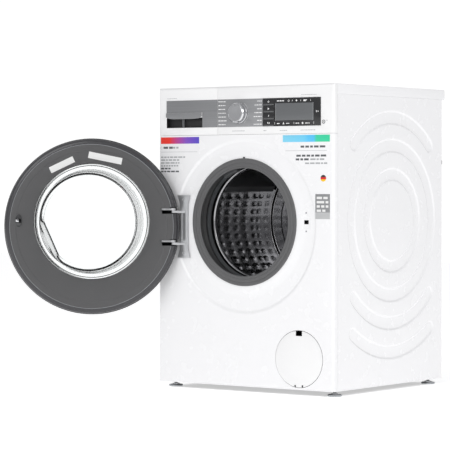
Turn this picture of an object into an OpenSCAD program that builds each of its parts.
// Front load washing machine, door standing open.
// Millimetres, +Z up, front towards -Y, origin on the floor under the middle of the cabinet.

/* [Cabinet] */
// Width over the side panels
cabinet_w = 598; // [560:1:720]
// Depth of the casing, front panel to rear panel
cabinet_d = 560; // [540:1:680]
// Height from the floor to the top of the worktop
total_h = 848; // [830:1:1000]
// Height of the casing's lower edge above the floor
base_gap = 16; // [14:0.5:30]
// Thickness of the sheet steel panels
sheet = 1.2; // [0.8:0.1:2]
// Thickness of the worktop
worktop_t = 28; // [20:1:34]
// How far the worktop reaches past the rear panel
worktop_overhang = 24; // [10:1:26]
// How far the front panel and the fascia turn the corner
front_return = 18; // [14:1:22]
// Radius of the cabinet's front corners
corner_r = 8; // [3:0.5:12]
// Depth of the pressed relief in the panels
relief = 0.6; // [0.3:0.1:0.8]

/* [Fascia] */
// Height of the control fascia
fascia_h = 134; // [125:1:150]
// Wall of the fascia and of the drawer front
fascia_wall = 2.5; // [2:0.1:4]
// Height of the grey strip across the fascia
strip_h = 77; // [60:1:90]
// Distance from the strip's upper edge to the top of the worktop
strip_drop = 36; // [30:1:40]
// Width of the detergent drawer's front
drawer_w = 208; // [180:1:230]
// How far the detergent drawer pulls out
drawer_travel = 200; // [150:1:205]
// Gap around the moving and the inserted front pieces
seam = 0.6; // [0.4:0.1:1.2]
// Radius of the programme knob's skirt
knob_r = 29; // [24:0.5:32]
// How far the knob stands out
knob_out = 19; // [12:0.5:25]
// Radius of the knob's shaft
knob_shaft_r = 4; // [3:0.5:6]
// Width of the programme plate
plate_w = 154; // [140:1:160]
// Width of the display panel
display_w = 192; // [180:1:200]
// Travel of the push keys
key_travel = 0.8; // [0.5:0.1:1.5]
// Width of the push keys
key_w = 36; // [30:0.5:40]

/* [Door] */
// Height of the door's centre
door_z = 457; // [440:1:470]
// Outer radius of the door
door_r = 248.5; // [235:0.5:250]
// Angle at which the door stands open
door_open = 146; // [60:1:146]
// Gap between the front panel and the closed door
door_gap = 6; // [5:0.5:8]
// Distance of the hinge axis in front of the front panel
hinge_out = 20; // [20:0.5:22]
// How far the closed door reaches past the hinge axis
hinge_inset = 17.5; // [15:0.5:18]
// Thickness of the door's inner ring
inner_ring_t = 12; // [10:0.5:14]
// Thickness of the whole door
door_t = 44; // [40:1:48]
// Radius of the glass opening in the door
glass_r = 164; // [162:0.5:168]
// Depth of the glass bowl from its seat to its bottom
bowl_depth = 91; // [75:1:95]
// Wall of the glass bowl
glass_t = 5; // [4:0.5:7]
// Radius of the hinge pins
hinge_pin_r = 3; // [2.5:0.25:4]
// Distance between the two hinge arms
hinge_pitch = 90; // [70:1:110]
// Height of the hinge bracket
bracket_h = 176; // [150:1:190]

/* [Drum and tub] */
// Height of the drum's axis
drum_z = 471; // [460:1:500]
// Outer radius of the drum
drum_r = 245; // [225:0.5:247]
// Wall of the drum
drum_wall = 1.5; // [0.8:0.1:2]
// Length of the drum
drum_len = 337; // [300:1:345]
// Radius of the drum's mouth
mouth_r = 152; // [150:0.5:156]
// Gap between the drum and the tub's wall
drum_clear = 23; // [15:0.5:25]
// Wall of the tub
tub_wall = 4; // [3:0.25:5]
// Height of the drum's lifters
lifter_h = 63; // [40:1:70]
// Radius of the drum's shaft
shaft_r = 15; // [12:0.5:17.5]
// Running clearance of shafts and pins in their holes
running = 0.06; // [0.03:0.01:0.09]
// Pitch radius of the drum's pulley
pulley_r = 139.7; // [120:0.1:145]
// Pitch radius of the motor's pulley
motor_pulley_r = 12.7; // [11:0.1:16]
// Radius of the motor
motor_r = 62; // [50:1:64]
// How far the tub can move up or down on its springs
tub_travel = 10; // [5:1:12]

/* [Service and feet] */
// Radius of the round service hole
service_r = 78.5; // [75:0.5:80]
// Sideways place of the service hole
service_x = 185; // [175:1:190]
// Height of the service hole's centre
service_z = 100; // [98:1:104]
// Radius of the levelling feet
foot_r = 20; // [16:0.5:24]
// Thickness of a foot's disc
foot_t = 9; // [6:0.5:12]
// Radius of a foot's threaded stud
stud_r = 5; // [4:0.5:6]
// How far the feet screw out
foot_travel = 20; // [10:1:20]
// Radius of the corrugated drain hose
hose_r = 12.5; // [10:0.5:13]
// Bore of the drain hose
hose_bore_r = 10; // [7:0.5:10.5]

/* [Hidden] */
$fn = 96;

// cabinet
half_w = cabinet_w / 2;
front_y = -cabinet_d / 2;
rear_y = cabinet_d / 2;
panel_front_y = front_y + front_return + seam;
inner_front_y = front_y + sheet;
inner_rear_y = rear_y - sheet;
worktop_z = total_h - worktop_t;
fascia_z = total_h - fascia_h;
flange = 15;
slack = 0.5;
cut = 1;

// fascia
strip_z1 = total_h - strip_drop;
strip_z0 = strip_z1 - strip_h;
strip_side = 28.5;
trim_t = 0.6;
drawer_x1 = drawer_w - half_w;
plate_x0 = drawer_x1 + seam;
plate_x1 = plate_x0 + plate_w;
display_x0 = plate_x1 + seam;
display_x1 = display_x0 + display_w;
display_out = 1;
knob_x = (plate_x0 + plate_x1) / 2 - 4;
knob_z = (strip_z0 + strip_z1) / 2;
knob_cap_r = knob_r - 1.5;
bush_len = 15;
key_pitch = strip_h / 4;
key_h = key_pitch - 1;
key_x = display_x0 + 2 + key_w / 2;
key_out = display_out + key_travel;
key_depth = 8;
window_x0 = display_x0 + key_w + 8;
window_x1 = display_x1 - 25;
window_z0 = strip_z0 + 15.5;
window_z1 = strip_z1 - 14.5;
board_y = panel_front_y + 4;

// detergent drawer
handle_x0 = strip_side - half_w;
handle_w = 127;
handle_h = 28;
handle_depth = 14;
tray_x0 = flange + 5 - half_w;
tray_x1 = drawer_x1 - 7;
tray_z0 = worktop_z - 68;
tray_z1 = worktop_z - 14;
tray_y0 = front_y + front_return;
tray_wall = 2;
drawer_len = drawer_travel + 36;
housing_gap = 1.5;
housing_wall = 2.5;
housing_y0 = tray_y0 + 4;
housing_y1 = tray_y0 + drawer_len + 8;

// drum and tub
drum_y0 = front_y + 68;
drum_y1 = drum_y0 + drum_len;
drum_lip = 7;
tub_r = drum_r + drum_clear;
tub_out_r = tub_r + tub_wall;
tub_y0 = drum_y0 - 14;
tub_y1 = drum_y1 + 37;
tub_split_y = 10;
tub_mouth_r = mouth_r + 5;
collar_t = 4.7;
collar_len = 8;
weight_t = 28;
weight_y1 = tub_y0 - 2;
weight_r0 = tub_mouth_r + 21;
weight_r1 = tub_out_r - 7;
board_z0 = drum_z + weight_r1 + tub_travel + 5;
spider_y0 = drum_y1 + 0.3;
spider_t = 24;
hub_r = 45;
hub_len = 48;
bearing_r = 31;
bearing_w = 15;
bearing_y1 = tub_y1 + 1;
bearing_y2 = tub_y1 + hub_len - bearing_w - 2;
pulley_y0 = tub_y1 + hub_len + 4;
pulley_w = 14;
heater_r = 4;
heater_path_r = drum_r + drum_clear / 2;
heater_x = 25;
motor_z = drum_z - 353;
motor_y0 = 20;
motor_y1 = pulley_y0 - 26;
motor_lug_y = [motor_y0 + 30, tub_y1 - 20];
belt_t = 4;
belt_w = pulley_w - 3;
belt_gap = 0.3;
spring_x = tub_r - 6;
spring_y = 40;
spring_r = 11;
spring_z0 = drum_z + 132;
spring_z1 = worktop_z - 25;
damper_x = 190;
damper_y = 30;
damper_z1 = drum_z - 205;

// gasket
gasket_r = tub_mouth_r + 20;
lip_r = mouth_r - 3;
panel_hole_r = tub_mouth_r + 8;

// door, all in its closed place
glass_z = drum_z;
hinge_x = -(door_r - hinge_inset);
hinge_y = front_y - hinge_out;
ring_y = front_y - door_gap;
joint_y = ring_y - inner_ring_t;
outer_y = ring_y - door_t;
shell_t = 3;
knuckle_r = 6.5;
knuckle_h = 6.5;
knuckle_gap = 0.3;
arm_z = [door_z - hinge_pitch / 2, door_z + hinge_pitch / 2];
bracket_t = 4.5;
seat_y = joint_y - 0.3;
window_r = glass_r - 1;
latch_x = 207;
latch_z = drum_z + 2;
hook_len = 18;
hook_w = 4;
hook_h = 6;
hook_pin_r = 2;

// service hatch, pump and feet
flap_r = service_r - 1.3;
flap_t = 2;
flap_hinge_y = front_y + 0.2;
flap_hinge_z = service_z - flap_r + 4;
flap_pin_r = 0.9;
ear_x = 12;
ear_w = 3.8;
ear_r = 2.2;
pump_r = 32;
pump_z = service_z - 5;
pump_y0 = front_y + 18;
pump_y1 = front_y + 130;
filter_r = 28;
foot_x = half_w - 27;
foot_y = [front_y + 45, rear_y - 30];
stud_top = base_gap + foot_travel + 8;
tray_t = 2;
tray_floor_z = base_gap + sheet;

// drain hose, back of the cabinet
hose_x = half_w - 31;
bend_r = 30;
hose_out_y = rear_y + 25;
hose_in_y = hose_out_y - 2 * bend_r;
hose_low_z = 56;
hose_top_z = worktop_z - 60;
hose_shift_z = 520;
hose_run_x = hose_x - 2 * bend_r;
hose_run_z = 110;
hose_end_x = -230;
hose_end_z = 640;
hose_tail = 20;
hose_start_x = hose_x - bend_r - 15;
hose_start_y = -120;
valve_x = -240;
valve_z = worktop_z - 40;
thread_r = 13.2;
thread_len = 15;
neck_out = 1.5;
cap_x = 150;
cap_z = [300, 640];
cap_hole_r = 12;
gland_x = -200;
gland_z = worktop_z - 80;

// A shape drawn in X and Z, given depth from y0 to y1.
module deep(y0, y1) translate([0, y1, 0]) rotate([90, 0, 0]) linear_extrude(y1 - y0) children();

// A profile of radius and depth, turned about an axis along Y at x, z.
module turned(x, z) translate([x, 0, z]) rotate([-90, 0, 0]) rotate_extrude() children();

// A round bar along Y.
module bar_y(x, z, y0, y1, r) translate([x, y1, z]) rotate([90, 0, 0]) cylinder(r = r, h = y1 - y0);

// A block between two corners.
module block(a, b) translate(a) cube(b - a);

// A ring, or a stretch of one, in a plane.
module band(r0, r1) difference() {
  circle(r1);
  circle(r0);
}

// The plan of a piece that turns both front corners.
module corner_plan(inset, back) {
  r = corner_r - inset;
  translate([inset - half_w, front_y + inset + r]) square([2 * (half_w - inset), back - front_y - inset - r]);
  translate([inset - half_w + r, front_y + inset]) square([2 * (half_w - inset - r), r + 0.01]);
  for (s = [-1, 1]) translate([s * (half_w - inset - r), front_y + inset + r]) circle(r);
}

// ---------- cabinet ----------

module front_panel() color("white") difference() {
  union() {
    translate([0, 0, base_gap]) linear_extrude(fascia_z - seam - base_gap) difference() {
      corner_plan(0, front_y + front_return);
      corner_plan(sheet, front_y + front_return + cut);
    }
    translate([0, 0, base_gap]) linear_extrude(sheet) corner_plan(0, front_y + front_return);
  }
  bar_y(0, drum_z, front_y - cut, front_y + sheet + cut, panel_hole_r);
  bar_y(service_x, service_z, front_y - cut, front_y + sheet + cut, service_r);
  block([latch_x - 7, front_y - cut, latch_z - 5.5], [latch_x + 7.5, inner_front_y + cut, latch_z + 5.5]);
  block([latch_x - 13, front_y - cut, latch_z - 17], [latch_x + 13, front_y + relief / 2, latch_z + 17]);
  deep(front_y - cut, front_y + relief) translate([0, door_z + 2]) band(door_r - 9, door_r - 6);
}

// Pressed bands of a side panel, drawn in Y and Z.
module side_bands() {
  translate([panel_front_y + 276, 475]) {
    band(109, 148);
    band(188, 230);
    intersection() {
      band(266, 308);
      union() {
        polygon([[0, 0], [-340, -330], [340, -330]]);
        polygon([[0, 0], [-340, 330], [340, 330]]);
      }
    }
    intersection() {
      band(347, 389);
      polygon([[0, 0], [-320, -440], [320, -440]]);
    }
  }
}

module side_panel(side) color("white") mirror([side < 0 ? 1 : 0, 0, 0]) difference() {
  block([half_w - flange, panel_front_y, base_gap], [half_w, rear_y, worktop_z]);
  block([half_w - flange - cut, panel_front_y + sheet, base_gap + sheet],
    [half_w - sheet, inner_rear_y - sheet, worktop_z + cut]);
  block([half_w - flange - cut, inner_rear_y, base_gap - cut], [half_w - sheet, rear_y + cut, worktop_z + cut]);
  translate([half_w - relief, 0, 0]) rotate([90, 0, 90]) linear_extrude(relief + cut) side_bands();
}

module rear_panel() color("gainsboro") difference() {
  block([sheet - half_w, inner_rear_y, base_gap], [half_w - sheet, rear_y, worktop_z]);
  bar_y(0, drum_z, inner_rear_y - cut, rear_y + cut, pulley_r + 12);
  for (x = [-cap_x, cap_x], z = cap_z) bar_y(x, z, inner_rear_y - cut, rear_y + cut, cap_hole_r);
  bar_y(hose_x, hose_top_z, inner_rear_y - cut, rear_y + cut, hose_r + 1);
  bar_y(valve_x, valve_z, inner_rear_y - cut, rear_y + cut, thread_r + 0.4);
  bar_y(gland_x, gland_z, inner_rear_y - cut, rear_y + cut, 6);
}

module rear_cover() color("gainsboro") turned(0, drum_z) {
  r = pulley_r + 26;
  polygon([[0, rear_y + 9], [0, rear_y + 7.5], [r - 14, rear_y + 7.5], [r - 8, rear_y + 1.5], [r - 8, rear_y],
    [r, rear_y], [r, rear_y + 2], [r - 7, rear_y + 2.5], [r - 13, rear_y + 9]]);
}

module base_tray() color("dimgray") difference() {
  block([slack + sheet - half_w, panel_front_y + 2, tray_floor_z],
    [half_w - sheet - slack, inner_rear_y - sheet - slack, tray_floor_z + 26]);
  block([slack + sheet + 3 - half_w, panel_front_y + 5, tray_floor_z + tray_t],
    [half_w - sheet - slack - 3, inner_rear_y - sheet - slack - 3, tray_floor_z + 27]);
  block([service_x - ear_x - 6, panel_front_y, tray_floor_z + tray_t],
    [service_x + ear_x + 6, panel_front_y + 10, tray_floor_z + 27]);
  for (x = [-foot_x, foot_x], y = foot_y) translate([x, y, 0]) cylinder(r = stud_r + running, h = 60);
}

module worktop() color("white") difference() {
  block([-half_w, panel_front_y, worktop_z], [half_w, rear_y + worktop_overhang, total_h]);
  for (s = [-1, 1]) translate([s * half_w, rear_y + worktop_overhang, worktop_z - cut])
    rotate(s < 0 ? -90 : 180) difference() {
      cube([12, 12, worktop_t + 2 * cut]);
      translate([12, 12, -cut]) cylinder(r = 12, h = worktop_t + 4 * cut);
    }
}

module top_braces() color("silver") {
  for (y = [panel_front_y + 24, spring_y - 20]) difference() {
    block([sheet - half_w, y, worktop_z - 22], [half_w - sheet, y + 40, worktop_z]);
    block([sheet - half_w - cut, y + 1.5, worktop_z - 20.5], [half_w + cut, y + 38.5, worktop_z - 1.5]);
    if (y < 0) block([-half_w, y - cut, worktop_z - 23], [drawer_x1 + 2, y + 41, worktop_z + cut]);
  }
}

// ---------- fascia ----------

// The fascia's outline, set in from the outside by a wall.
module fascia_body(inset, back) intersection() {
  translate([0, 0, fascia_z - cut]) linear_extrude(fascia_h + 2 * cut) corner_plan(inset, back);
  translate([-half_w, 0, 0]) rotate([90, 0, 90]) linear_extrude(cabinet_w) {
    r = corner_r;
    z = total_h - inset;
    translate([front_y, fascia_z]) square([back - front_y, z - r - fascia_z]);
    translate([front_y + inset + r, fascia_z]) square([back - front_y - inset - r, z - fascia_z]);
    translate([front_y + inset + r, z - r]) circle(r);
  }
}

module fascia_shell() difference() {
  fascia_body(0, front_y + front_return);
  fascia_body(fascia_wall, front_y + front_return + cut);
}

module control_fascia() color("white") difference() {
  union() {
    intersection() {
      fascia_shell();
      block([plate_x0, front_y - cut, fascia_z], [half_w, panel_front_y, total_h]);
    }
    bar_y(knob_x, knob_z, front_y + 0.5, front_y + bush_len, knob_shaft_r + 4);
  }
  bar_y(knob_x, knob_z, front_y - cut, front_y + bush_len + cut, knob_shaft_r + running);
  block([display_x0, front_y - cut, strip_z0], [display_x1, front_y + fascia_wall + cut, strip_z1]);
}

module programme_plate() color("silver") difference() {
  block([plate_x0, front_y - trim_t, strip_z0], [plate_x1, front_y, strip_z1]);
  bar_y(knob_x, knob_z, front_y - trim_t - cut, front_y + cut, knob_shaft_r + 2);
}

function key_z(n) = strip_z1 - (n - 0.5) * key_pitch;

module display_panel() color("black") difference() {
  union() {
    block([display_x0, front_y - display_out, strip_z0], [display_x1, front_y + fascia_wall, strip_z1]);
    block([display_x0 - 4, front_y + fascia_wall, strip_z0 - 4],
      [display_x1 + 4, front_y + fascia_wall + 1.5, strip_z1 + 4]);
  }
  for (n = [1:4]) block([key_x - key_w / 2 - seam / 2, front_y - 5, key_z(n) - key_h / 2 - seam / 2 + 0.1],
    [key_x + key_w / 2 + seam / 2, front_y + 10, key_z(n) + key_h / 2 + seam / 2 - 0.1]);
}

module display_window() color("gray")
  block([window_x0, front_y - display_out - 0.4, window_z0], [window_x1, front_y - display_out, window_z1]);

module key_cap(n) color("black") {
  block([key_x - key_w / 2, front_y - key_out, key_z(n) - key_h / 2],
    [key_x + key_w / 2, front_y + key_depth - key_out, key_z(n) + key_h / 2]);
}

module programme_knob() color("silver") {
  turned(knob_x, knob_z) polygon([[0, front_y - knob_out], [knob_cap_r - 3, front_y - knob_out],
    [knob_cap_r, front_y - knob_out + 3], [knob_cap_r, front_y - 5],
    [knob_r, front_y - 4], [knob_r, front_y - trim_t - 0.6], [0, front_y - trim_t - 0.6]]);
  bar_y(knob_x, knob_z, front_y - trim_t - 0.7, front_y + bush_len - 2, knob_shaft_r);
}

module control_board() color("green") {
  block([plate_x0 + 8, board_y, board_z0], [half_w - 22, board_y + 2, strip_z1 + 2]);
  bar_y(knob_x, knob_z, board_y - 4, board_y, 9);
  for (x = [40, 120, 190]) block([x, board_y + 2, board_z0 + 4], [x + 34, board_y + 16, board_z0 + 34]);
}

// ---------- detergent drawer ----------

module drawer_front() color("white") difference() {
  union() {
    intersection() {
      fascia_shell();
      block([-half_w, front_y - cut, fascia_z], [drawer_x1, panel_front_y, total_h]);
    }
    block([handle_x0 - 1.5, front_y + 0.5, strip_z0 - 1.5],
      [handle_x0 + handle_w + 1.5, front_y + handle_depth + 1.5, strip_z0 + handle_h + 1.5]);
    block([handle_x0, front_y - trim_t, strip_z0], [drawer_x1, front_y + 0.5, strip_z1]);
    block([handle_x0, front_y - 4, strip_z0 + handle_h], [handle_x0 + handle_w, front_y, strip_z0 + handle_h + 14]);
    for (x = [tray_x0 + 3, tray_x1 - 6])
      block([x, front_y + fascia_wall - 0.1, tray_z0 + 4], [x + 3, tray_y0, tray_z1 - 4]);
  }
  block([handle_x0, front_y - 6, strip_z0], [handle_x0 + handle_w, front_y + handle_depth, strip_z0 + handle_h]);
}

module drawer_tray() color("lightgray") difference() {
  y1 = tray_y0 + drawer_len;
  w = (tray_x1 - tray_x0 - 4 * tray_wall) / 3;
  block([tray_x0, tray_y0, tray_z0], [tray_x1, y1, tray_z1]);
  for (n = [0:2]) {
    x = tray_x0 + tray_wall + n * (w + tray_wall);
    block([x, tray_y0 + tray_wall, tray_z0 + tray_wall], [x + w, y1 - tray_wall, tray_z1 + cut]);
  }
}

module drawer_housing() color("lightgray") difference() {
  g = housing_gap;
  w = g + housing_wall;
  union() {
    block([tray_x0 - w, housing_y0, tray_z0 - w], [tray_x1 + w, housing_y1, tray_z1 + w]);
    translate([-150, -60, tray_z0 - w - 14]) cylinder(r = 16, h = 15);
    bar_y(valve_x, valve_z, housing_y1 - 1, housing_y1 + 12, 5);
  }
  block([tray_x0 - g, housing_y0 - cut, tray_z0 - g], [tray_x1 + g, housing_y1 - housing_wall, tray_z1 + g]);
  translate([-150, -60, tray_z0 - w - 16]) cylinder(r = 13, h = 20);
  bar_y(valve_x, valve_z, housing_y1 - 6, housing_y1 + 13, 3.5);
}

// ---------- door ----------

// Turns a piece from its closed place to where the door stands open.
module at_door() translate([hinge_x, hinge_y, 0]) rotate(-door_open) translate([-hinge_x, -hinge_y, 0]) children();

// Room in the door for a hinge lug, its knuckle and its arm.
module hinge_pockets() for (z = arm_z) {
  block([-door_r - 5, hinge_y - 9, z - 9], [hinge_x + 9, front_y, z + 9]);
  block([-door_r - 5, hinge_y - 9, z - 9], [hinge_x + 32, front_y, z + knuckle_gap / 2]);
  block([hinge_x, hinge_y - 4, z + knuckle_gap], [hinge_x + 35, hinge_y + 10, z + knuckle_gap + knuckle_h]);
}

module door_inner_ring() color("#5a5a5a") at_door() difference() {
  r = door_r - 2.5;
  turned(0, door_z) polygon([[0, ring_y], [r - 12, ring_y], [r - 3, ring_y - 3.5], [r, ring_y - 8],
    [r, joint_y], [0, joint_y]]);
  bar_y(0, glass_z, joint_y - cut, ring_y + cut, glass_r);
  hinge_pockets();
  block([latch_x - 8, joint_y - cut, latch_z - 6], [latch_x + 9, ring_y + cut, latch_z + 6]);
}

module door_outer_ring() color("#303030") at_door() difference() {
  union() {
    difference() {
      turned(0, door_z) polygon([
        [door_r - shell_t, joint_y], [door_r, joint_y], [door_r, joint_y - 6], [door_r - 8.5, joint_y - 18],
        [door_r - 17.5, joint_y - 22], [door_r - 37.5, outer_y], [0, outer_y], [0, outer_y + shell_t],
        [door_r - 38.5, outer_y + shell_t], [door_r - 19, joint_y - 19.3], [door_r - 10.5, joint_y - 15.5],
        [door_r - shell_t, joint_y - 5.2]
      ]);
      bar_y(0, glass_z, outer_y - cut, joint_y, window_r + 4);
    }
    turned(0, glass_z) polygon([
      [window_r, outer_y], [window_r, outer_y + 4], [window_r - 3, outer_y + 4], [window_r - 3, outer_y + 7],
      [glass_r + 2, outer_y + 7], [glass_r + 2, seat_y - glass_t], [glass_r + 5, seat_y - glass_t],
      [glass_r + 5, outer_y]
    ]);
    for (z = [latch_z - 8.2, latch_z + 4.2])
      block([latch_x - 5, outer_y + 1, z], [latch_x + 5, joint_y - 0.2, z + 4]);
  }
  hinge_pockets();
  translate([latch_x, hinge_y, latch_z - 20]) cylinder(r = hook_pin_r + running, h = 40);
}

module door_glass() color("lightcyan", 0.4) at_door() turned(0, glass_z) {
  y0 = seat_y - glass_t;
  y1 = y0 + bowl_depth + glass_t + 16;
  t = glass_t;
  polygon([
    [glass_r + 3, seat_y], [glass_r - 2, seat_y], [glass_r - 2, ring_y + 0.5], [lip_r - 0.5, front_y - 3],
    [lip_r - 4, front_y + 20], [mouth_r - 11, front_y + 50], [mouth_r - 15, y1 - 12], [mouth_r - 18.5, y1 - 3.5],
    [mouth_r - 27, y1], [0, y1 + 0], [0, y1 - t], [mouth_r - 29, y1 - t], [mouth_r - 21, y1 - t - 4],
    [mouth_r - 15 - t, front_y + 50], [lip_r - 4 - t, front_y + 19], [lip_r - t - 0.5, front_y - 5],
    [glass_r - 2 - t, ring_y - 3], [glass_r - 2 - t, y0], [glass_r + 3, y0]
  ]);
}

module door_window() color("lightcyan", 0.4) at_door() bar_y(0, glass_z, outer_y, outer_y + 4, window_r - 0.2);

module hinge_arms() color("silver") at_door() for (z = arm_z) translate([0, 0, z + knuckle_gap]) difference() {
  union() {
    translate([hinge_x, hinge_y, 0]) cylinder(r = knuckle_r, h = knuckle_h);
    block([hinge_x, hinge_y - 4, 0], [hinge_x + 35, hinge_y + 6, knuckle_h]);
  }
  translate([hinge_x, hinge_y, -cut]) cylinder(r = hinge_pin_r + running, h = knuckle_h + 2 * cut);
}

module hinge_bracket() color("silver") {
  h = bracket_h / 2;
  difference() {
    deep(front_y - bracket_t, front_y) polygon([
      [hinge_x + 2, door_z - h], [hinge_x + 45, door_z - h], [hinge_x + 38, door_z - h + 26],
      [hinge_x + 38, door_z + h - 26], [hinge_x + 45, door_z + h], [hinge_x + 2, door_z + h],
      [hinge_x + 11, door_z + h - 26], [hinge_x + 11, door_z - h + 26]
    ]);
    block([hinge_x + 17, front_y - bracket_t - cut, door_z - 36], [hinge_x + 29, front_y - 2, door_z + 36]);
  }
  for (z = [door_z - h + 13, door_z + h - 13]) bar_y(hinge_x + 24, z, front_y - bracket_t - 1.2, front_y, 4.5);
  for (z = arm_z) {
    translate([0, 0, z - knuckle_h - knuckle_gap]) linear_extrude(knuckle_h) {
      translate([hinge_x, hinge_y]) circle(knuckle_r);
      polygon([[hinge_x - 3, hinge_y + 5], [hinge_x + 4, hinge_y - 4.5], [hinge_x + 28, front_y - bracket_t + 0.5],
        [hinge_x + 13, front_y - bracket_t + 0.5]]);
    }
    translate([hinge_x, hinge_y, z - knuckle_gap - 1]) cylinder(r = hinge_pin_r, h = knuckle_h + 2);
  }
}

module latch_hook() color("silver") at_door() {
  h = hook_h / 2;
  block([latch_x - hook_w, hinge_y - 4, latch_z - h], [latch_x + 0.5, front_y + hook_len, latch_z + h]);
  block([latch_x - hook_w, front_y + hook_len - 4, latch_z - h], [latch_x + hook_w, front_y + hook_len, latch_z + h]);
  translate([latch_x, hinge_y, latch_z - 8.2]) cylinder(r = hook_pin_r, h = 16.4);
}

module door_lock() color("dimgray") difference() {
  block([latch_x - 17, inner_front_y, latch_z - 32], [latch_x + 19, front_y + 30, latch_z + 32]);
  block([latch_x - 12, inner_front_y - cut, latch_z - 8], [latch_x + 12, front_y + 22, latch_z + 8]);
}

// Bellows between the front panel and the tub.
module door_gasket() color("#555555") turned(0, drum_z) {
  r = gasket_r;
  h = panel_hole_r - 0.2;
  c = tub_mouth_r + collar_t + 0.3;
  y2 = tub_y0 - collar_len;
  polygon([
    [lip_r, front_y - 2.5], [lip_r + 4, front_y - 4], [r - 2, front_y - 4], [r, front_y - 2], [r, front_y],
    [h, front_y], [h, front_y + 18], [h + 6, front_y + 24], [h + 6, front_y + 33], [h + 1, y2 - 2], [c + 4, y2],
    [c + 4, tub_y0 - 1], [c, tub_y0 - 1], [c, y2 - 4], [h + 2, front_y + 31], [h + 2, front_y + 26],
    [h - 4, front_y + 20], [h - 4, front_y + 4], [lip_r + 1, front_y + 1]
  ]);
}

// ---------- tub ----------

module tub_front() color("lightgray") difference() {
  union() {
    turned(0, drum_z) polygon([
      [tub_mouth_r, tub_y0 - collar_len], [tub_mouth_r + collar_t, tub_y0 - collar_len],
      [tub_mouth_r + collar_t, tub_y0], [tub_out_r, tub_y0], [tub_out_r, tub_split_y - 6],
      [tub_out_r + 8, tub_split_y - 6], [tub_out_r + 8, tub_split_y], [tub_r, tub_split_y],
      [tub_r, tub_y0 + tub_wall], [tub_mouth_r, tub_y0 + tub_wall]
    ]);
    translate([-150, -60, drum_z + tub_r - 50]) cylinder(r = 20, h = tray_z0 - 30 - (drum_z + tub_r - 50));
    translate([service_x, pump_y0 + 72, pump_z + pump_r + 98]) cylinder(r = 22, h = 62);
  }
  bar_y(0, drum_z, tub_y0 + tub_wall, tub_split_y + cut, tub_r);
  translate([-150, -60, drum_z]) cylinder(r = 16, h = tray_z0 - 20 - drum_z);
  translate([service_x, pump_y0 + 72, pump_z + pump_r + 90]) cylinder(r = 18, h = 120);
}

module tub_back() color("lightgray") difference() {
  union() {
    turned(0, drum_z) polygon([
      [tub_r, tub_split_y], [tub_out_r + 8, tub_split_y], [tub_out_r + 8, tub_split_y + 6],
      [tub_out_r, tub_split_y + 6], [tub_out_r, tub_y1], [hub_r, tub_y1], [hub_r, tub_y1 + hub_len],
      [0, tub_y1 + hub_len], [0, tub_y1 - tub_wall], [tub_r, tub_y1 - tub_wall]
    ]);
    for (s = [-1, 1]) {
      block([s * spring_x - 12, spring_y - 10, drum_z + 122], [s * spring_x + 12, spring_y + 10, drum_z + 130]);
      block([s * spring_x - (s > 0 ? 34 : 0), spring_y - 10, drum_z + 106],
        [s * spring_x + (s > 0 ? 0 : 34), spring_y + 10, drum_z + 124]);
      block([s * damper_x - 14, damper_y - 10, damper_z1], [s * damper_x + 14, damper_y + 10, drum_z - 186]);
    }
    for (x = [-40, 40], y = motor_lug_y)
      block([x - 6, y, motor_z + motor_r + 2], [x + 6, y + 10, drum_z - tub_r - 1]);
  }
  bar_y(0, drum_z, tub_split_y - cut, tub_y1 - tub_wall, tub_r);
  for (y = [bearing_y1, bearing_y2]) bar_y(0, drum_z, y, y + bearing_w, bearing_r);
  bar_y(0, drum_z, tub_y1 - tub_wall - cut, tub_y1 + hub_len + cut, shaft_r + 6);
  bar_y(0, drum_z, bearing_y2, tub_y1 + hub_len + cut, bearing_r);
  for (x = [-heater_x, heater_x])
    bar_y(x, drum_z - sqrt(pow(heater_path_r, 2) - pow(heater_x, 2)), tub_y1 - 10, tub_y1 + cut, heater_r);
}

// A counterweight bolted to the front of the tub, up or down.
module counterweight(side) color("gray") difference() {
  intersection() {
    bar_y(0, drum_z, weight_y1 - weight_t, weight_y1, weight_r1);
    deep(weight_y1 - weight_t, weight_y1) translate([0, drum_z]) polygon([
      [0, 0], [-300, side * 210], [-300, side * 400], [300, side * 400], [300, side * 210]
    ]);
  }
  bar_y(0, drum_z, weight_y1 - weight_t - cut, weight_y1 + cut, weight_r0);
  if (side < 0) block([service_x - 60, weight_y1 - 40, 0], [half_w, weight_y1 + cut, drum_z]);
}

module counterweight_bolts(side)
  for (a = [-40, 0, side < 0 ? -20 : 40])
    bar_y(sin(a) * 215, drum_z + side * cos(a) * 215, weight_y1 - 0.1, tub_y0, 8);

module bearings() color("steelblue") for (y = [bearing_y1, bearing_y2]) difference() {
  bar_y(0, drum_z, y, y + bearing_w, bearing_r);
  bar_y(0, drum_z, y - cut, y + bearing_w + cut, shaft_r + running);
}

module heater() color("silver") {
  z = drum_z - sqrt(pow(heater_path_r, 2) - pow(heater_x, 2));
  for (x = [-heater_x, heater_x]) bar_y(x, z, -100, tub_y1 + 12, heater_r);
  translate([0, -100, z]) rotate([0, 0, 180]) rotate_extrude(angle = 180) translate([heater_x, 0]) circle(heater_r);
}

module motor_housing() color("dimgray") difference() {
  union() {
    bar_y(0, motor_z, motor_y0, motor_y1, motor_r);
    bar_y(0, motor_z, motor_y1 - 1, motor_y1 + 6, motor_r / 2);
    for (x = [-40, 40], y = motor_lug_y)
      block([x - 6, y, motor_z + 40], [x + 6, y + 10, motor_z + motor_r + 2]);
  }
  bar_y(0, motor_z, motor_y0 + 30, motor_y1 + 7, 6 + running);
}

module motor_pulley() color("silver") {
  bar_y(0, motor_z, motor_y0 + 31, pulley_y0 + pulley_w, 6);
  bar_y(0, motor_z, pulley_y0, pulley_y0 + pulley_w, motor_pulley_r - 0.5);
}

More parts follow.
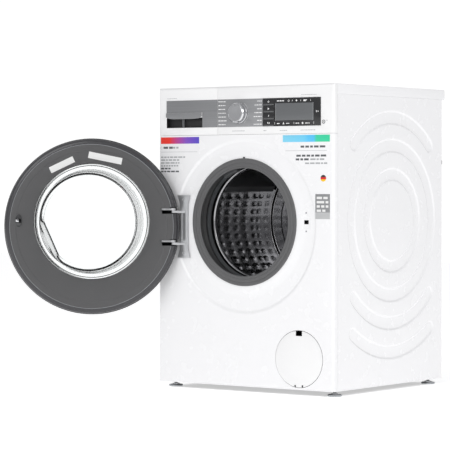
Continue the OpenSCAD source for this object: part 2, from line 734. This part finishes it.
module drum_pulley() color("silver") difference() {
  union() {
    turned(0, drum_z) polygon([[pulley_r - 14, pulley_y0], [pulley_r - 0.5, pulley_y0],
      [pulley_r - 0.5, pulley_y0 + pulley_w], [pulley_r - 14, pulley_y0 + pulley_w]]);
    bar_y(0, drum_z, pulley_y0, pulley_y0 + pulley_w, shaft_r + 14);
    deep(pulley_y0 + 3, pulley_y0 + pulley_w - 3) translate([0, drum_z])
      for (n = [0:4]) rotate(n * 72) translate([0, -8]) square([pulley_r - 10, 16]);
  }
  bar_y(0, drum_z, pulley_y0 - cut, pulley_y0 + pulley_w + cut, shaft_r);
}

// The belt's outline around both pulleys, at some distance from them.
module belt_outline(off) {
  big = pulley_r + off;
  small = motor_pulley_r + off;
  a = asin((big - small) / (drum_z - motor_z));
  translate([0, drum_z]) circle(big);
  translate([0, motor_z]) circle(small);
  polygon([
    [-big * cos(a), drum_z - big * sin(a)], [-small * cos(a), motor_z - small * sin(a)],
    [small * cos(a), motor_z - small * sin(a)], [big * cos(a), drum_z - big * sin(a)]
  ]);
}

module drive_belt() color("#303030") deep(pulley_y0 + 1.5, pulley_y0 + 1.5 + belt_w) difference() {
  belt_outline(belt_gap + belt_t);
  belt_outline(belt_gap);
}

// ---------- drum ----------

module drum_shell() color("silver") turned(0, drum_z) polygon([
  [mouth_r, drum_y0 + 3], [mouth_r + 3, drum_y0], [mouth_r + 12, drum_y0], [mouth_r + 22, drum_y0 + drum_lip],
  [drum_r - 8, drum_y0 + drum_lip], [drum_r, drum_y0 + drum_lip + 8], [drum_r, drum_y1],
  [drum_r - drum_wall, drum_y1], [drum_r - drum_wall, drum_y0 + drum_lip + 9],
  [drum_r - 9, drum_y0 + drum_lip + drum_wall], [mouth_r + 21, drum_y0 + drum_lip + drum_wall],
  [mouth_r + 11, drum_y0 + drum_wall], [mouth_r + 4, drum_y0 + drum_wall], [mouth_r + 4, drum_y0 + 12],
  [mouth_r, drum_y0 + 12]
]);

module drum_back() color("silver") turned(0, drum_z) {
  r = drum_r - drum_wall;
  y = drum_y1 - 8;
  t = drum_wall;
  polygon([
    [0, y], [60, y], [66, y + 6], [96, y + 6], [102, y], [150, y], [156, y + 6], [186, y + 6], [192, y],
    [r, y], [r, y + 8], [r - t, y + 8], [r - t, y + t], [192, y + t], [186, y + 6 + t],
    [156, y + 6 + t], [150, y + t], [102, y + t], [96, y + 6 + t], [66, y + 6 + t], [60, y + t], [0, y + t]
  ]);
}

module lifters() color("#808080") for (a = [30, 150, 270]) intersection() {
  deep(drum_y0 + 24, drum_y1 - 22) translate([0, drum_z]) intersection() {
    rotate(a) polygon([[drum_r, -30], [drum_r, 30], [drum_r - lifter_h + 8, 13], [drum_r - lifter_h, 8],
      [drum_r - lifter_h, -8], [drum_r - lifter_h + 8, -13]]);
    circle(drum_r - drum_wall);
  }
  turned(0, drum_z) polygon([[0, drum_y0 + 64], [drum_r - lifter_h, drum_y0 + 64], [drum_r, drum_y0 + 24],
    [drum_r, drum_y1 - 22], [drum_r - lifter_h, drum_y1 - 36], [0, drum_y1 - 36]]);
}

module drum_spider() color("silver") {
  deep(spider_y0, spider_y0 + spider_t) translate([0, drum_z]) for (a = [90, 210, 330])
    rotate(a) polygon([[0, -30], [0, 30], [drum_r - 6, 14], [drum_r - 6, -14]]);
  bar_y(0, drum_z, spider_y0, spider_y0 + spider_t + 6, 38);
  bar_y(0, drum_z, spider_y0 + 5, pulley_y0 + pulley_w + 3, shaft_r);
}

// ---------- suspension, hoses and water ----------

module suspension_springs() color("silver") for (s = [-1, 1]) translate([s * spring_x, spring_y, 0]) {
  translate([0, 0, spring_z0 + 14]) difference() {
    cylinder(r = spring_r, h = spring_z1 - spring_z0 - 28);
    translate([0, 0, -cut]) cylinder(r = spring_r - 3, h = spring_z1 - spring_z0 - 28 + 2 * cut);
  }
  for (z = [spring_z0 - 2, spring_z1 - 15]) translate([0, 0, z]) cylinder(r = 3, h = 17);
  for (z = [spring_z0 + 13, spring_z1 - 17]) translate([0, 0, z]) cylinder(r = spring_r, h = 3);
}

module shock_absorbers() color("gray") for (s = [-1, 1]) translate([s * damper_x, damper_y, 0]) {
  translate([0, 0, tray_floor_z + tray_t]) cylinder(r = 13, h = 130);
  translate([0, 0, tray_floor_z + tray_t + 129]) cylinder(r = 5, h = damper_z1 - tray_floor_z - tray_t - 129);
}

module tub_hoses() color("#404040") {
  difference() {
    translate([-150, -60, tray_z0 - 32]) cylinder(r = 20, h = 32 - housing_gap - housing_wall);
    translate([-150, -60, tray_z0 - 33]) cylinder(r = 16.2, h = 40);
    translate([-150, -60, tray_z0 - 60]) cylinder(r = 20.5, h = 30);
  }
  z = pump_z + pump_r;
  difference() {
    translate([service_x, pump_y0 + 72, z + 15]) cylinder(r = 22, h = 83);
    translate([service_x, pump_y0 + 72, z]) cylinder(r = 18, h = 120);
  }
}

module inlet_valve() color("white") difference() {
  union() {
    block([valve_x - 20, inner_rear_y - 55, valve_z - 24], [valve_x + 20, inner_rear_y, valve_z + 24]);
    bar_y(valve_x, valve_z, inner_rear_y - 1, rear_y + neck_out + 0.5, thread_r - 0.8);
    bar_y(valve_x, valve_z, rear_y + neck_out, rear_y + thread_len, thread_r);
    bar_y(valve_x, valve_z, inner_rear_y - 68, inner_rear_y - 54, 5);
  }
  bar_y(valve_x, valve_z, rear_y - 12, rear_y + thread_len + cut, 9);
  bar_y(valve_x, valve_z, inner_rear_y - 70, inner_rear_y - 48, 3.5);
}

module inlet_pipe() color("lightgray") difference() {
  bar_y(valve_x, valve_z, housing_y1, inner_rear_y - 55, 8);
  bar_y(valve_x, valve_z, housing_y1 - cut, inner_rear_y - 54, 5);
}

module drain_pump() color("dimgray") difference() {
  y = pump_y0 + 4;
  union() {
    bar_y(service_x, pump_z, y, pump_y1, pump_r);
    bar_y(service_x, pump_z, pump_y1 - 1, pump_y1 + 60, pump_r - 6);
    translate([service_x, pump_y0 + 72, pump_z]) cylinder(r = 18, h = pump_r + 15);
    translate([service_x, hose_start_y, hose_low_z]) rotate([0, 90, 0])
      cylinder(r = hose_bore_r, h = hose_start_x - service_x + 12);
    translate([service_x, hose_start_y, hose_low_z - hose_bore_r]) cylinder(r = hose_bore_r, h = pump_z - hose_low_z);
    for (x = [service_x - ear_x - ear_w / 2, service_x + ear_x - ear_w / 2]) {
      translate([x, flap_hinge_y, flap_hinge_z]) rotate([0, 90, 0]) cylinder(r = ear_r, h = ear_w);
      block([x, flap_hinge_y, flap_hinge_z - ear_r], [x + ear_w, y + 20, flap_hinge_z + ear_r]);
    }
    block([service_x - ear_x - 4, y + 10, flap_hinge_z - ear_r], [service_x + ear_x + 4, y + 20, pump_z - 20]);
  }
  bar_y(service_x, pump_z, y - cut, pump_y1 - 6, filter_r + 0.1);
  translate([service_x, pump_y0 + 72, pump_z]) cylinder(r = 14, h = pump_r + 16);
  translate([service_x, hose_start_y, hose_low_z]) rotate([0, 90, 0])
    cylinder(r = hose_bore_r - 2.5, h = hose_start_x - service_x + 13);
  translate([service_x - 50, flap_hinge_y, flap_hinge_z]) rotate([0, 90, 0])
    cylinder(r = flap_pin_r + running, h = 100);
}

module pump_filter() color("dodgerblue") {
  y = pump_y0 + 4;
  bar_y(service_x, pump_z, y - 6, y, pump_r);
  bar_y(service_x, pump_z, y - 0.1, y + 14, filter_r);
  bar_y(service_x, pump_z, y + 13.9, y + 60, filter_r - 10);
  block([service_x - 4, y - 13, pump_z - 24], [service_x + 4, y - 5.9, pump_z + 24]);
}

module service_flap() color("white") {
  y = flap_hinge_y - flap_t / 2;
  difference() {
    bar_y(service_x, service_z, y, y + flap_t, flap_r);
    block([service_x - 10.5, y - cut, service_z + 63], [service_x + 10.5, y + flap_t + cut, service_z + flap_r]);
    for (s = [-1, 1]) block([service_x + s * ear_x - ear_w / 2 - 0.3, y - cut, service_z - flap_r - cut],
      [service_x + s * ear_x + ear_w / 2 + 0.3, y + flap_t + cut, flap_hinge_z + ear_r + 0.4]);
  }
  translate([service_x - ear_x - ear_w, flap_hinge_y, flap_hinge_z]) rotate([0, 90, 0])
    cylinder(r = flap_pin_r, h = 2 * (ear_x + ear_w));
}

// A quarter bend of the hose, from -Y towards +Z in its own frame, centre line of radius bend_r.
module bend(r0, r1) rotate_extrude(angle = 90) translate([bend_r, 0]) difference() {
  circle(r1);
  if (r0 > 0) circle(r0);
}

module straight(a, b, r0, r1) {
  d = b - a;
  turn = d.x != 0 ? [0, d.x > 0 ? 90 : -90, 0] : d.y != 0 ? [d.y > 0 ? -90 : 90, 0, 0] : [d.z > 0 ? 0 : 180, 0, 0];
  translate(a) rotate(turn) difference() {
    cylinder(r = r1, h = norm(d));
    if (r0 > 0) translate([0, 0, -cut]) cylinder(r = r0, h = norm(d) + 2 * cut);
  }
}

module drain_hose() color("#505050") {
  b = bend_r;
  i = hose_bore_r;
  o = hose_r;
  x = hose_x;
  s = hose_start_y;
  straight([hose_start_x, s, hose_low_z], [x - b, s, hose_low_z], i, o);
  translate([x - b, s + b, hose_low_z]) rotate([0, 0, -90]) bend(i, o);
  straight([x, s + b, hose_low_z], [x, hose_in_y - b, hose_low_z], i, o);
  translate([x, hose_in_y - b, hose_low_z + b]) rotate([0, 90, 0]) bend(i, o);
  straight([x, hose_in_y, hose_low_z + b], [x, hose_in_y, hose_top_z - b], i, o);
  translate([x, hose_in_y + b, hose_top_z - b]) rotate([90, 0, 90]) rotate(90) bend(i, o);
  translate([x, hose_out_y - b, hose_top_z - b]) rotate([90, 0, 90]) bend(i, o);
  translate([0, hose_out_y, 0]) {
    straight([x, 0, hose_top_z - b], [x, 0, hose_shift_z], i, o);
    translate([x - b, 0, hose_shift_z]) rotate([-90, 0, 0]) bend(i, o);
    translate([x - b, 0, hose_shift_z - 2 * b]) rotate([90, 0, 0]) rotate(90) bend(i, o);
    straight([x - 2 * b, 0, hose_shift_z - 2 * b], [x - 2 * b, 0, hose_run_z + b], i, o);
    translate([x - 3 * b, 0, hose_run_z + b]) rotate([-90, 0, 0]) bend(i, o);
    straight([x - 3 * b, 0, hose_run_z], [hose_end_x + b, 0, hose_run_z], i, o);
    translate([hose_end_x + b, 0, hose_run_z + b]) rotate([-90, 0, 0]) rotate(90) bend(i, o);
    straight([hose_end_x, 0, hose_run_z + b], [hose_end_x, 0, hose_end_z], i, o);
    translate([hose_end_x - b, 0, hose_end_z]) rotate([90, 0, 0]) bend(i, o);
    straight([hose_end_x - b, 0, hose_end_z + b], [hose_end_x - b - hose_tail, 0, hose_end_z + b], i, o);
  }
}

// A clip that holds the hose off the rear panel; the hose runs along Z, or along X when flat.
module hose_clip(x, z, flat) translate([x, 0, z]) rotate([0, flat ? 90 : 0, 0]) {
  translate([0, hose_out_y, -6]) difference() {
    cylinder(r = hose_r + 2.5, h = 12);
    translate([0, 0, -cut]) cylinder(r = hose_r + 0.1, h = 12 + 2 * cut);
  }
  block([-5, rear_y, -6], [5, hose_out_y - hose_r - 1, 6]);
}

module hose_clips() color("black") {
  hose_clip(hose_x, 640, false);
  hose_clip(hose_run_x, 300, false);
  hose_clip(0, hose_run_z, true);
  hose_clip(hose_end_x, 300, false);
  hose_clip(hose_end_x, 560, false);
}

module transport_caps() color("lightgray") for (x = [-cap_x, cap_x], z = cap_z) {
  bar_y(x, z, rear_y, rear_y + 4, cap_hole_r + 4);
  bar_y(x, z, inner_rear_y - 10, rear_y + 1, cap_hole_r - 0.1);
}

module cable_gland() color("black") difference() {
  union() {
    bar_y(gland_x, gland_z, rear_y, rear_y + 12, 9);
    bar_y(gland_x, gland_z, inner_rear_y - 8, rear_y + 1, 5.9);
  }
  bar_y(gland_x, gland_z, inner_rear_y - 9, rear_y + 13, 4);
}

module foot(x, y) color("gray") translate([x, y, 0]) {
  cylinder(r = foot_r, h = foot_t);
  cylinder(r = stud_r, h = stud_top);
}

front_panel();
side_panel(-1);  // side_panel_left
side_panel(1);  // side_panel_right
rear_panel();
rear_cover();
base_tray();
worktop();
top_braces();
control_fascia();
programme_plate();
display_panel();
display_window();
control_board();
drawer_housing();
drawer_front();
drawer_tray();
programme_knob();
key_cap(1);  // key_1
key_cap(2);  // key_2
key_cap(3);  // key_3
key_cap(4);  // key_4
hinge_bracket();
door_lock();
door_gasket();
door_inner_ring();
door_outer_ring();
door_glass();
door_window();
hinge_arms();
latch_hook();
tub_front();
tub_back();
union() {  // upper_counterweight
  counterweight(1);
  counterweight_bolts(1);
}
union() {  // lower_counterweight
  counterweight(-1);
  counterweight_bolts(-1);
}
bearings();
heater();
motor_housing();
motor_pulley();
drive_belt();
drum_shell();
drum_back();
lifters();
drum_spider();
drum_pulley();
suspension_springs();
shock_absorbers();
tub_hoses();
inlet_valve();
inlet_pipe();
drain_pump();
pump_filter();
service_flap();
drain_hose();
hose_clips();
transport_caps();
cable_gland();
foot(-foot_x, foot_y[0]);  // foot_front_left
foot(foot_x, foot_y[0]);  // foot_front_right
foot(-foot_x, foot_y[1]);  // foot_rear_left
foot(foot_x, foot_y[1]);  // foot_rear_right
